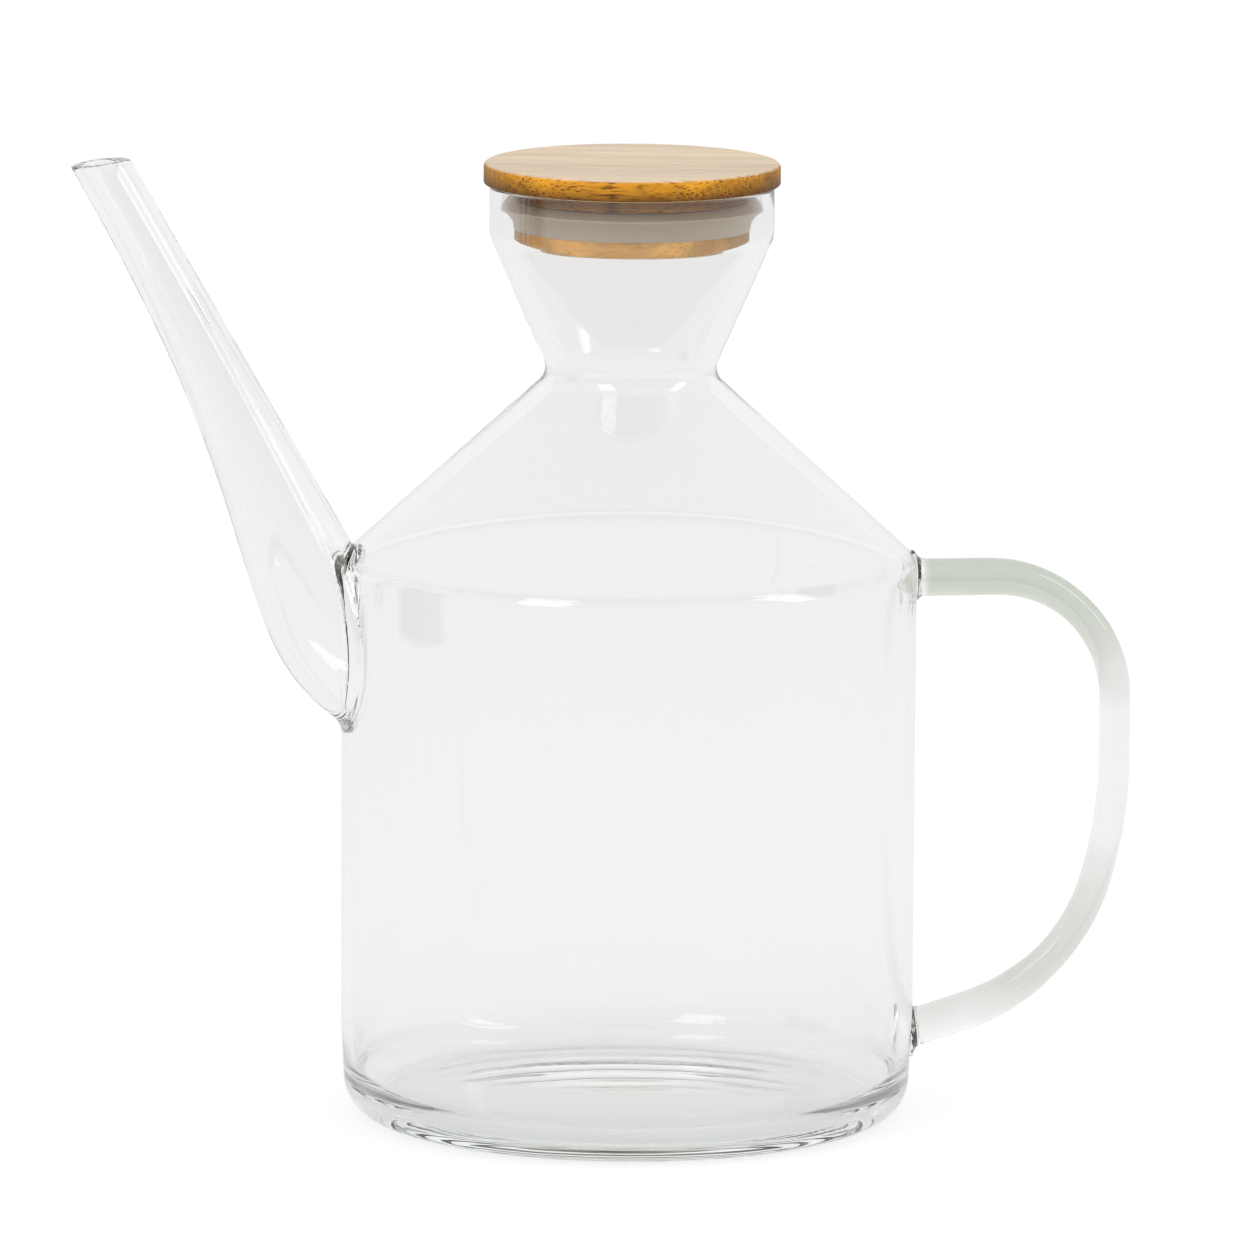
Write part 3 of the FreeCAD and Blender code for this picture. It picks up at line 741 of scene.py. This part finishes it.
def glass_material(finish, size):
    """Clear glass, a little grey where it is thick; lamp light passes it with a pale shadow."""
    material, tree, shader = new_material("blown_glass", {
        "Roughness": 0.0, "IOR": finish.index, "Transmission Weight": 1.0})
    wire(tree, rod_painted_shade(tree, finish, size), shader.inputs["Base Color"])
    waves = 30.0
    wire(tree, ripple(tree, waves, finish.ripple, (1.0, 1.0, 0.5)), shader.inputs["Normal"])
    clear = node_of(tree, "ShaderNodeBsdfTransparent", {"Color": toned(finish.shadow)})
    path = tree.nodes.new("ShaderNodeLightPath").outputs
    lighting = maths(tree, "MAXIMUM", path["Is Shadow Ray"], path["Is Diffuse Ray"])
    surface = node_of(tree, "ShaderNodeMixShader",
                      {0: lighting, 1: shader.outputs[0], 2: clear.outputs[0]})
    depth = node_of(tree, "ShaderNodeVolumeAbsorption",
                    {"Color": toned(finish.depth_colour), "Density": finish.depth})
    output = tree.nodes["Material Output"]
    wire(tree, surface.outputs[0], output.inputs["Surface"])
    wire(tree, depth.outputs[0], output.inputs["Volume"])
    return material


# Cells of the bamboo's patterns per metre: along the fibres, across them and upwards.
GRAIN_CELLS = (30.0, 1300.0, 900.0)
BROAD_CELLS = (14.0, 260.0, 260.0)
FIBRE_END_CELLS = (200.0, 1900.0, 2200.0)
CROWD_CELLS = (120.0, 300.0, 500.0)
CUT_GRAIN_CELLS = (260.0, 500.0, 2400.0)
NECK_CELLS = (700.0, 700.0, 60.0)


def bamboo_patterns(tree, place, strip):
    """Grain, broad bands of it, dots of cut fibre ends, and dashes of grain on a cut side."""
    strip_shift = 7.3
    shift = combine(tree, times(tree, strip, strip_shift), 0.0, 0.0)
    stretched = vector_of(tree, "MULTIPLY", place, GRAIN_CELLS)
    grain = noise_of(tree, vector_of(tree, "ADD", stretched, shift), 6.0, 0.68)
    broad = noise_of(tree, vector_of(tree, "MULTIPLY", place, BROAD_CELLS))
    dots = node_of(tree, "ShaderNodeTexVoronoi", {
        "Scale": 1.0, "Vector": vector_of(tree, "MULTIPLY", place, FIBRE_END_CELLS)})
    crowd = ramp(tree, noise_of(tree, vector_of(tree, "MULTIPLY", place, CROWD_CELLS)),
                 [(0.36, 0.45), (0.58, 1)])
    fibre_ends = times(tree, ramp(tree, dots.outputs["Distance"], [(0.22, 1), (0.5, 0)]), crowd)
    sway = vector_of(tree, "SCALE", combine(tree, 0.0, 0.0, broad), scale=4 * MM)
    swayed = vector_of(tree, "ADD", place, sway)
    dashes = ramp(tree, noise_of(tree, vector_of(tree, "MULTIPLY", swayed, CUT_GRAIN_CELLS)),
                  [(0.5, 0), (0.62, 1)])
    return grain, broad, fibre_ends, dashes


def bamboo_facing(tree, lid, broad):
    """Masks: level faces, faces across the fibres with a wandering edge, and their shade."""
    normal = tree.nodes.new("ShaderNodeNewGeometry").outputs["Normal"]
    upward = ramp(tree, maths(tree, "ABSOLUTE", parts_of(tree, normal)[2]), [(0.55, 0), (0.92, 1)])
    run = (math.cos(lid.grain_turn), math.sin(lid.grain_turn), 0.0)
    endways = node_of(tree, "ShaderNodeVectorMath", {0: normal, 1: run}, operation="DOT_PRODUCT")
    endways = maths(tree, "ABSOLUTE", endways.outputs["Value"])
    wander = maths(tree, "MULTIPLY_ADD", maths(tree, "SUBTRACT", broad, 0.5), 0.3, endways)
    sideways = ramp(tree, wander, [(0.1, 0), (0.3, 1)])
    return upward, sideways, ramp(tree, endways, [(0.5, 1), (0.98, 0.55)])


def bamboo_material(lid, seat):
    """Laminated strips: long fibres on top and front, cut fibre ends to both sides, and painted shade
    on the neck under the disc.
    """
    material, tree, shader = new_material("bamboo", {"Specular IOR Level": 0.2})
    turned = node_of(tree, "ShaderNodeMapping",
                     {"Vector": object_place(tree), "Rotation": (0, 0, -lid.grain_turn)})
    place = turned.outputs[0]
    _, across, up = parts_of(tree, place)
    strip = maths(tree, "FLOOR", maths(tree, "DIVIDE", across, lid.strip_width))
    grain, broad, fibre_ends, dashes = bamboo_patterns(tree, place, strip)
    upward, sideways, shade = bamboo_facing(tree, lid, broad)
    dark = toned(lid.dark_colour)

    top = two_tone(tree, ramp(tree, grain, [(0.36, 0), (0.62, 1)]), lid.top_colour, 0.62)
    blurred = maths(tree, "ADD", times(tree, grain, 0.5), times(tree, broad, 0.5))
    plain = two_tone(tree, ramp(tree, blurred, [(0.36, 0), (0.62, 1)]), lid.side_colour, 0.66, 1.25)
    streaked = mix(tree, times(tree, dashes, 0.8), plain, dark)
    dotted = mix(tree, times(tree, fibre_ends, 0.8), plain, dark)
    side = mix(tree, sideways, streaked, mix(tree, 1.0, dotted, shade, "MULTIPLY"))

    pale = two_tone(tree, ramp(tree, broad, [(0.4, 0), (0.6, 1)]), lid.plug_colour, 0.75)
    pale = mix(tree, times(tree, fibre_ends, 0.3), pale, dark)
    pale = mix(tree, 1.0, pale, shade, "MULTIPLY")
    groove_top = seat - lid.groove_top
    plug = ramp(tree, up, [(groove_top - lid.groove_width * 0.5, 1),
                           (groove_top - lid.groove_width * 0.4, 0)])
    # Painted shade: from the groove's top up to the disc the plug takes the dark neck colour with
    # fine lines, standing in for the shade under the disc.
    neck = ramp(tree, up, [(groove_top - 0.1 * MM, 0), (groove_top, 1), (seat, 1),
                           (seat + 0.2 * MM, 0)])
    lines = noise_of(tree, vector_of(tree, "MULTIPLY", place, NECK_CELLS))
    neck_shade_tone = two_tone(tree, ramp(tree, lines, [(0.4, 0), (0.62, 1)]), lid.neck_shade_colour, 0.35)
    side = mix(tree, neck, mix(tree, plug, side, pale), neck_shade_tone)
    wood = mix(tree, upward, side, top)

    lamina = node_of(tree, "ShaderNodeTexWhiteNoise", {"W": strip}, noise_dimensions="1D")
    tone = between(tree, lamina.outputs["Value"], 0.92, 1.04)
    wire(tree, vector_of(tree, "SCALE", wood, scale=tone), shader.inputs["Base Color"])
    wire(tree, between(tree, grain, 0.42, 0.58), shader.inputs["Roughness"])
    pits = times(tree, fibre_ends, sideways)
    bump = node_of(tree, "ShaderNodeBump", {
        "Strength": 0.3, "Distance": 0.2 * MM, "Height": maths(tree, "SUBTRACT", grain, pits)})
    wire(tree, bump.outputs[0], shader.inputs["Normal"])
    return material


def silicone_material(lid):
    """Translucent grey rubber with a slight cloud and a matt skin."""
    material, tree, shader = new_material("silicone", {
        "Roughness": 0.42, "IOR": 1.41, "Subsurface Weight": 0.35,
        "Subsurface Radius": (2 * MM, 1.8 * MM, 1.5 * MM)})
    cloud = noise_of(tree, object_place(tree), scale=180.0)
    wire(tree, two_tone(tree, cloud, lid.ring_colour, 0.92), shader.inputs["Base Color"])
    wire(tree, ripple(tree, 900.0, 0.15), shader.inputs["Normal"])
    return material


def seen_by(tree):
    """1 for rays from the camera, and 1 for rays that glass mirrors or lets through."""
    path = tree.nodes.new("ShaderNodeLightPath").outputs
    mirrored = maths(tree, "MAXIMUM", path["Is Glossy Ray"], path["Is Transmission Ray"])
    return path["Is Camera Ray"], mirrored


def floor_material(studio):
    """Pale floor that keeps a shadow; to the eye it reaches white."""
    material, tree, shader = new_material("studio_floor", {
        "Base Color": toned(studio.floor_colour), "Roughness": 1.0,
        "Specular IOR Level": 0.0, "Emission Color": grey(1)})
    camera, mirrored = seen_by(tree)
    level = maths(tree, "ADD", times(tree, camera, studio.floor_glow),
                  times(tree, mirrored, studio.through_glow))
    wire(tree, level, shader.inputs["Emission Strength"])
    return material


# ---------------------------------------------------------------- operators

def finish_piece(piece, node, sharp=40.0):
    """Smooth the piece but for edges sharper than so many degrees, and enter it in the frame."""
    mesh = piece.data
    mesh.shade_smooth()
    mesh.set_sharp_from_angle(angle=math.radians(sharp))
    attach(piece, "root")
    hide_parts(node)


class CRUET_OT_glass(bpy.types.Operator):
    """Blow the vessel, draw spout and handle onto it and hollow them as one glass"""
    bl_idname = "cruet.glass"
    bl_label = "Glass"

    def execute(self, context):
        size = context.scene.cruet_glass
        material = glass_material(context.scene.cruet_glass_finish, size)
        outside, inside = vessel_lines(size)
        turned = {"Segments": size.segments, "Material": material}
        vessel = line_object("cruet_glass", rounded(outside))
        apply_tree(vessel, turned_form_tree(), turned)
        cone = Vector((size.body_radius - size.throat_radius,
                       size.throat_height - size.shoulder_height)).normalized()
        tube = {"Body Radius": size.body_radius, "Shoulder Height": size.shoulder_height,
                "Cone Across": cone.y, "Cone Up": cone.x, "Material": material}
        steps = 130
        edge = 0.5 * MM
        rising = [(-edge, 0.0), (-edge * 0.6, -edge * 0.08), (-edge * 0.25, -edge * 0.34),
                  (0.0, -edge)]
        spout = tube_line("spout", spout_sections(size, (0.0, 0.0), size.wall, steps, rising))
        apply_tree(spout, drawn_tube_tree(), {**tube, "Around": 64, "Weld": size.spout_weld})
        handle = tube_line("handle", handle_sections(size))
        apply_tree(handle, drawn_tube_tree(), {**tube, "Around": 40, "Weld": size.handle_weld})
        cut_or_fuse(vessel, spout, "UNION")
        cut_or_fuse(vessel, handle, "UNION")
        room = line_object("room", rounded(inside))
        apply_tree(room, turned_form_tree(), turned)
        cut_or_fuse(vessel, room, "DIFFERENCE")
        opening = [(-edge, 0.0), (-edge * 0.5, edge * 0.15), (0.0, edge * 0.9),
                   (edge * 2, edge * 2.5)]
        walls = (size.root_wall, size.tip_radius - size.bore_radius)
        bore = tube_line("bore", spout_sections(size, walls, size.wall * 3, steps, opening))
        no_weld = 1e-7
        apply_tree(bore, drawn_tube_tree(), {**tube, "Around": 48, "Weld": no_weld})
        cut_or_fuse(vessel, bore, "DIFFERENCE")
        vessel.data.materials.clear()
        vessel.data.materials.append(material)
        finish_piece(vessel, "glass_cruet")
        return {"FINISHED"}


# Facets around the lid and its ring, and the widest turn of an arc's step in their outlines.
LID_SEGMENTS = 160
LID_TURN = math.radians(15)


class CRUET_OT_lid(bpy.types.Operator):
    """Turn the bamboo lid with its plug and groove"""
    bl_idname = "cruet.lid"
    bl_label = "Bamboo Lid"

    def execute(self, context):
        lid = context.scene.cruet_lid
        seat = context.scene.cruet_glass.rim_height
        low, high = LID_BOX[0].z, LID_BOX[1].z
        radius = LID_BOX[1].x
        plug = lid.plug_radius
        groove_top = seat - lid.groove_top
        groove_foot = groove_top - lid.groove_width
        outline = [
            (0, low, 0),
            (plug, low, lid.edge * 1.5),
            (plug, groove_foot, lid.edge),
            (plug - lid.groove_depth, groove_foot, 0),
            (plug - lid.groove_depth, groove_top, 0),
            (plug, groove_top, lid.edge),
            (plug, seat, 0),
            (radius, seat, lid.disc_round / 2),
            (radius, high, lid.disc_round),
            (0, high, 0),
        ]
        piece = line_object("cruet_lid", rounded(outline, 3 * MM, LID_TURN))
        apply_tree(piece, turned_form_tree(),
                   {"Segments": LID_SEGMENTS, "Material": bamboo_material(lid, seat)})
        finish_piece(piece, "bamboo_lid")
        return {"FINISHED"}


class CRUET_OT_ring(bpy.types.Operator):
    """Mould the silicone ring with its flared sealing lip"""
    bl_idname = "cruet.ring"
    bl_label = "Silicone Ring"

    def execute(self, context):
        lid = context.scene.cruet_lid
        low, high = RING_BOX[0].z, RING_BOX[1].z
        lip = RING_BOX[1].x
        clearance = 0.00015
        core = lid.plug_radius - lid.groove_depth + clearance
        band = lid.plug_radius + clearance
        tip = high - lid.lip_drop
        outline = [
            (core, low, 0),
            (band, low, 0.0003),
            (band, low + lid.ring_foot, 0.004),
            (lip, tip - lid.ring_lip * 0.25, 0),
            (lip, tip, 0),
            (lip - lid.ring_lip * 0.5, tip + lid.ring_lip * 0.2, 0.0004),
            (band, high, 0.0006),
            (core, high, 0),
            (core, low, 0),
        ]
        piece = line_object("cruet_ring", rounded(outline, 1.5 * MM, LID_TURN))
        apply_tree(piece, turned_form_tree(),
                   {"Segments": LID_SEGMENTS, "Material": silicone_material(lid)})
        finish_piece(piece, "silicone_ring")
        return {"FINISHED"}


def soft_light(name, place, size, power):
    """A rectangular lamp that points at the middle of the cruet."""
    aim = Vector((0, 0, 0.09))
    data = bpy.data.lights.new(name, "AREA")
    data.shape = "RECTANGLE"
    data.size, data.size_y = size
    data.energy = power
    lamp = bpy.data.objects.new(name, data)
    lamp.location = place
    lamp.rotation_euler = (aim - Vector(place)).to_track_quat("-Z", "Y").to_euler()
    bpy.context.scene.collection.objects.link(lamp)


def flat_sheet(name, corners, material):
    """A four-cornered face that belongs to the studio."""
    mesh = bpy.data.meshes.new(name)
    mesh.from_pydata(corners, [], [(0, 1, 2, 3)])
    mesh.materials.append(material)
    sheet = bpy.data.objects.new(name, mesh)
    bpy.context.scene.collection.objects.link(sheet)
    return sheet


def lay_floor(studio):
    reach = 6.0
    corners = [(-reach, -reach, 0), (reach, -reach, 0), (reach, reach, 0), (-reach, reach, 0)]
    floor = flat_sheet("studio_floor", corners, floor_material(studio))
    floor.location.z = GLASS_BOX[0].z


def grey_card(name, start, end, level):
    """A standing card between two azimuths, seen only mirrored in the glass or through it."""
    reach, low, high = 0.5, 0.02, 0.3
    corners = [(reach * math.cos(azimuth), reach * math.sin(azimuth), height)
               for azimuth, height in ((start, low), (end, low), (end, high), (start, high))]
    material = bpy.data.materials.new(name)
    material.use_nodes = True
    tree = material.node_tree
    tree.nodes.clear()
    glow = node_of(tree, "ShaderNodeEmission", {"Strength": level})
    node_of(tree, "ShaderNodeOutputMaterial", {"Surface": glow.outputs[0]})
    card = flat_sheet(name, corners, material)
    card.visible_camera = False
    card.visible_diffuse = False
    card.visible_shadow = False


def surroundings(studio):
    """White to the eye; brighter overhead than all around where glass mirrors it."""
    world = bpy.data.worlds.new("surroundings")
    world.use_nodes = True
    tree = world.node_tree
    direction = tree.nodes.new("ShaderNodeTexCoord").outputs["Generated"]
    fade = node_of(tree, "ShaderNodeMapRange", {
        "Value": parts_of(tree, direction)[2], "From Min": 0.15, "From Max": 0.75,
        "To Min": studio.horizon, "To Max": studio.ceiling}, interpolation_type="SMOOTHSTEP")
    camera, mirrored = seen_by(tree)
    lighting = times(tree, maths(tree, "SUBTRACT", 1.0, mirrored), studio.fill)
    around = times(tree, mirrored, fade.outputs["Result"])
    level = maths(tree, "MAXIMUM", maths(tree, "ADD", around, lighting), camera)
    wire(tree, level, tree.nodes["Background"].inputs["Strength"])
    tree.nodes["Background"].inputs["Color"].default_value = grey(1)
    return world


def studio_camera(studio):
    data = bpy.data.cameras.new("camera")
    camera = bpy.data.objects.new("camera", data)
    bpy.context.scene.collection.objects.link(camera)
    out = Vector((math.sin(studio.azimuth) * math.cos(studio.elevation),
                  -math.cos(studio.azimuth) * math.cos(studio.elevation),
                  math.sin(studio.elevation)))
    right = Vector((math.cos(studio.azimuth), math.sin(studio.azimuth), 0))
    aim = Vector((0, 0, studio.aim_height)) + right * studio.aim_side
    camera.location = aim + out * studio.distance
    camera.rotation_euler = (-out).to_track_quat("-Z", "Y").to_euler()
    camera.rotation_euler.rotate_axis("Z", studio.roll)
    data.sensor_width = 36.0
    data.lens = data.sensor_width * studio.distance / studio.view_width
    data.clip_start = 0.1
    data.clip_end = 50.0
    return camera


class CRUET_OT_stage(bpy.types.Operator):
    """Set the pale floor, the white surroundings, soft lights and the camera"""
    bl_idname = "cruet.stage"
    bl_label = "Stage"

    def execute(self, context):
        scene = context.scene
        studio = scene.cruet_studio
        lay_floor(studio)
        scene.world = surroundings(studio)
        soft_light("key", (-0.9, -0.9, 1.1), (0.5, 0.8), studio.key)
        soft_light("rim", (1.0, -0.4, 0.8), (0.25, 0.8), studio.rim)
        grey_card("card_left", math.radians(162), math.radians(186), studio.card)
        # Light crosses many walls of glass before it reaches the camera.
        scene.cycles.max_bounces = 64
        scene.cycles.transmission_bounces = 64
        scene.cycles.glossy_bounces = 32
        scene.cycles.transparent_max_bounces = 24
        scene.view_settings.view_transform = "Standard"
        scene.camera = studio_camera(studio)
        return {"FINISHED"}


OPERATORS = (CRUET_OT_stage, CRUET_OT_glass, CRUET_OT_lid, CRUET_OT_ring)


class CRUET_PT_panel(bpy.types.Panel):
    """The cruet's pieces and stage"""
    bl_idname = "CRUET_PT_panel"
    bl_label = "Glass Oil Cruet"
    bl_space_type = "VIEW_3D"
    bl_region_type = "UI"
    bl_category = "Cruet"

    def draw(self, context):
        column = self.layout.column()
        for operator in OPERATORS:
            column.operator(operator.bl_idname)


def register():
    for group in GROUPS.values():
        bpy.utils.register_class(group)
    for name, group in GROUPS.items():
        setattr(bpy.types.Scene, name, PointerProperty(type=group))
    for operator in OPERATORS:
        bpy.utils.register_class(operator)
    bpy.utils.register_class(CRUET_PT_panel)


def unregister():
    bpy.utils.unregister_class(CRUET_PT_panel)
    for operator in reversed(OPERATORS):
        bpy.utils.unregister_class(operator)
    for name, group in GROUPS.items():
        delattr(bpy.types.Scene, name)
        bpy.utils.unregister_class(group)


def main():
    register()
    bpy.ops.cruet.stage()
    bpy.ops.cruet.glass()
    bpy.ops.cruet.lid()
    bpy.ops.cruet.ring()
    bpy.context.view_layer.update()


if __name__ == "__main__":
    main()
